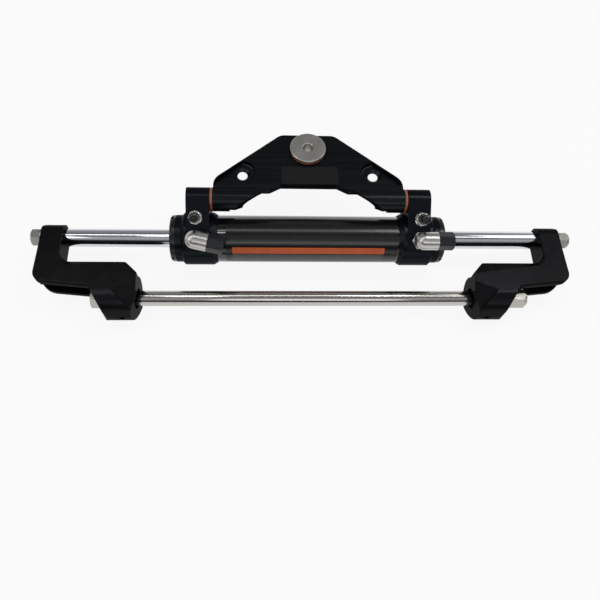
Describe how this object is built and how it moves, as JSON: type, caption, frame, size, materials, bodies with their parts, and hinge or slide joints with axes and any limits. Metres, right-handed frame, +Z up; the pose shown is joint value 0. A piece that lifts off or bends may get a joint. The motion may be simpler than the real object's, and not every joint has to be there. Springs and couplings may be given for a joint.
{
  "type": "hydraulic steering cylinder",
  "caption": "Outboard steering cylinder: a barrel slides along a fixed piston rod held by end brackets over a support rod, and carries a hinged tiller plate with a spool.",
  "frame": {"origin": "middle of the support rod's axis, halfway between the end brackets", "axes": "+X along both rods, to the right as seen from the support rod; +Y from the support rod towards the piston rod and the tiller plate; +Z up, square to the end brackets' flat top faces"},
  "size_m": [0.572, 0.1943, 0.0874],
  "materials": {
    "bracket_black": "black hard-anodised aluminium",
    "block_black": "black anodised aluminium",
    "plate_black": "black anodised extruded aluminium",
    "barrel_black": "gloss black enamel",
    "gland_black": "black anodised",
    "pin_black": "black oxide steel",
    "support_steel": "ground stainless steel",
    "rod_chrome": "polished chrome",
    "fastener_steel": "stainless steel",
    "nut_steel": "satin stainless steel",
    "piston_aluminium": "machined",
    "elbow_steel": "satin nickel-plated",
    "spool_steel": "ground stainless steel",
    "bleeder_steel": "plated steel",
    "bush_copper": "copper-coloured bearing material",
    "seal_rubber": "matte black",
    "cap_black": "black moulded",
    "bleeder_rubber": "matte black"
  },
  "bodies": {
    "frame": {"bracket_left": "bracket_black", "bracket_right": "bracket_black", "support_rod": "support_steel", "support_rod_washers": "fastener_steel", "support_rod_nut_left": "nut_steel", "support_rod_nut_right": "nut_steel", "piston_rod": "rod_chrome", "piston_rod_washers": "fastener_steel", "piston_rod_nut_left": "fastener_steel", "piston_rod_nut_right": "fastener_steel", "piston": "piston_aluminium", "piston_retaining_rings": "fastener_steel"},
    "piston_seal": {"piston_seals": "seal_rubber"},
    "barrel": {"barrel_tube": "barrel_black", "end_block_left": "block_black", "end_block_right": "block_black", "gland_nut_left": "gland_black", "gland_nut_right": "gland_black", "rod_seal_left": "seal_rubber", "rod_seal_right": "seal_rubber", "rod_wiper_left": "seal_rubber", "rod_wiper_right": "seal_rubber", "gland_o_ring_left": "seal_rubber", "gland_o_ring_right": "seal_rubber", "pivot_pin_left": "pin_black", "pivot_pin_right": "pin_black", "elbow_left": "elbow_steel", "elbow_right": "elbow_steel", "elbow_lock_nut_left": "elbow_steel", "elbow_lock_nut_right": "elbow_steel", "transit_cap_left": "cap_black", "transit_cap_right": "cap_black"},
    "plate": {"tiller_plate": "plate_black", "pivot_bush_left": "bush_copper", "pivot_bush_right": "bush_copper", "spool_bush_upper": "bush_copper", "spool_bush_lower": "bush_copper"},
    "spool": {"tiller_spool": "spool_steel", "spool_retainer": "spool_steel"},
    "bleeder_left": {"bleeder_left": "bleeder_steel", "bleeder_cap_left": "bleeder_rubber"},
    "bleeder_right": {"bleeder_right": "bleeder_steel", "bleeder_cap_right": "bleeder_rubber"}
  },
  "joints": [
    {"name": "barrel_roll", "type": "hinge", "parent": "frame", "child": "piston_seal", "pos_m": [0, 0.0657, 0.0092], "axis": [1, 0, 0], "range_deg": [-75, 15]},
    {"name": "barrel_slide", "type": "slide", "parent": "piston_seal", "child": "barrel", "axis": [1, 0, 0], "range_m": [-0.1037, 0.0995]},
    {"name": "plate_swing", "type": "hinge", "parent": "barrel", "child": "plate", "pos_m": [0.0021, 0.09265, 0.0419], "axis": [1, 0, 0], "range_deg": [-75, 110]},
    {"name": "spool_turn", "type": "hinge", "parent": "plate", "child": "spool", "pos_m": [0.0021, 0.15135, 0.0419], "axis": [0, 0, 1], "continuous": true},
    {"name": "bleeder_left_turn", "type": "hinge", "parent": "barrel", "child": "bleeder_left", "pos_m": [-0.1139, 0.07039, 0.04242], "axis": [0, -0.5373, 0.8434], "range_deg": [0, 180]},
    {"name": "bleeder_right_turn", "type": "hinge", "parent": "barrel", "child": "bleeder_right", "pos_m": [0.1181, 0.07039, 0.04242], "axis": [0, -0.5373, 0.8434], "range_deg": [0, 180]}
  ]
}
